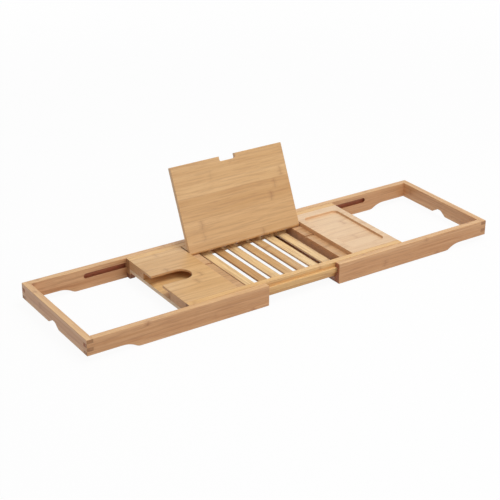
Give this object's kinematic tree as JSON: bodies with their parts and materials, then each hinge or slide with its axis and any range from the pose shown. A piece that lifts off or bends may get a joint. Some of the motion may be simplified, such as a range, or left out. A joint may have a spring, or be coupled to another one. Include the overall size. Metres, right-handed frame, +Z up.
{
  "type": "bath caddy",
  "caption": "Extendable wooden bath caddy with U-shaped sliding arms, a slatted centre tray, a phone pocket, a stemware slot and a hinged board that holds a book or tablet.",
  "frame": {"origin": "centre of the slatted floor: the top face of the middle slat, at the middle of the tray in plan", "axes": "+Z up, +X along the caddy towards the phone board, +Y towards the back, where the stand is hinged"},
  "size_m": [0.85, 0.2578, 0.18],
  "materials": {
    "bamboo_rail": "satin lacquered bamboo",
    "bamboo_board": "satin lacquered bamboo",
    "bamboo_slat": "satin lacquered bamboo",
    "dowel": "plain beech",
    "steel": "plain stainless steel"
  },
  "bodies": {
    "centre": {"centre_front_rail": "bamboo_rail", "centre_back_rail": "bamboo_rail", "left_bar": "bamboo_rail", "right_bar": "bamboo_rail", "right_end_bar": "bamboo_rail", "wine_top_board": "bamboo_board", "wine_base_board": "bamboo_board", "phone_board": "bamboo_board", "slat_1": "bamboo_slat", "slat_2": "bamboo_slat", "slat_3": "bamboo_slat", "slat_4": "bamboo_slat", "slat_5": "bamboo_slat", "slat_6": "bamboo_slat", "slat_7": "bamboo_slat", "front_batten": "bamboo_rail", "back_batten": "bamboo_rail", "stand_stop_bar": "bamboo_rail", "front_left_stop_block": "bamboo_rail", "front_right_stop_block": "bamboo_rail", "back_left_stop_block": "bamboo_rail", "back_right_stop_block": "bamboo_rail", "frame_dowels": "dowel", "base_board_dowels": "dowel", "bar_screws": "steel", "base_board_screws": "steel", "stop_block_screws": "steel", "batten_screws": "steel", "hinge_pins": "steel"},
    "left_arm": {"left_arm_front_rail": "bamboo_rail", "left_arm_back_rail": "bamboo_rail", "left_arm_end_rail": "bamboo_rail", "left_arm_cross_bar": "bamboo_rail"},
    "right_arm": {"right_arm_front_rail": "bamboo_rail", "right_arm_back_rail": "bamboo_rail", "right_arm_end_rail": "bamboo_rail", "right_arm_cross_bar": "bamboo_rail"},
    "stand": {"stand_board": "bamboo_board"}
  },
  "joints": [
    {"name": "left_arm_slide", "type": "slide", "parent": "centre", "child": "left_arm", "axis": [-1, 0, 0], "range_m": [-0.0748, 0.1258]},
    {"name": "right_arm_slide", "type": "slide", "parent": "centre", "child": "right_arm", "axis": [1, 0, 0], "range_m": [-0.0748, 0.1258]},
    {"name": "stand_hinge", "type": "hinge", "parent": "centre", "child": "stand", "pos_m": [0, 0.069, 0.01145], "axis": [1, 0, 0], "range_deg": [0, 114.5]}
  ]
}
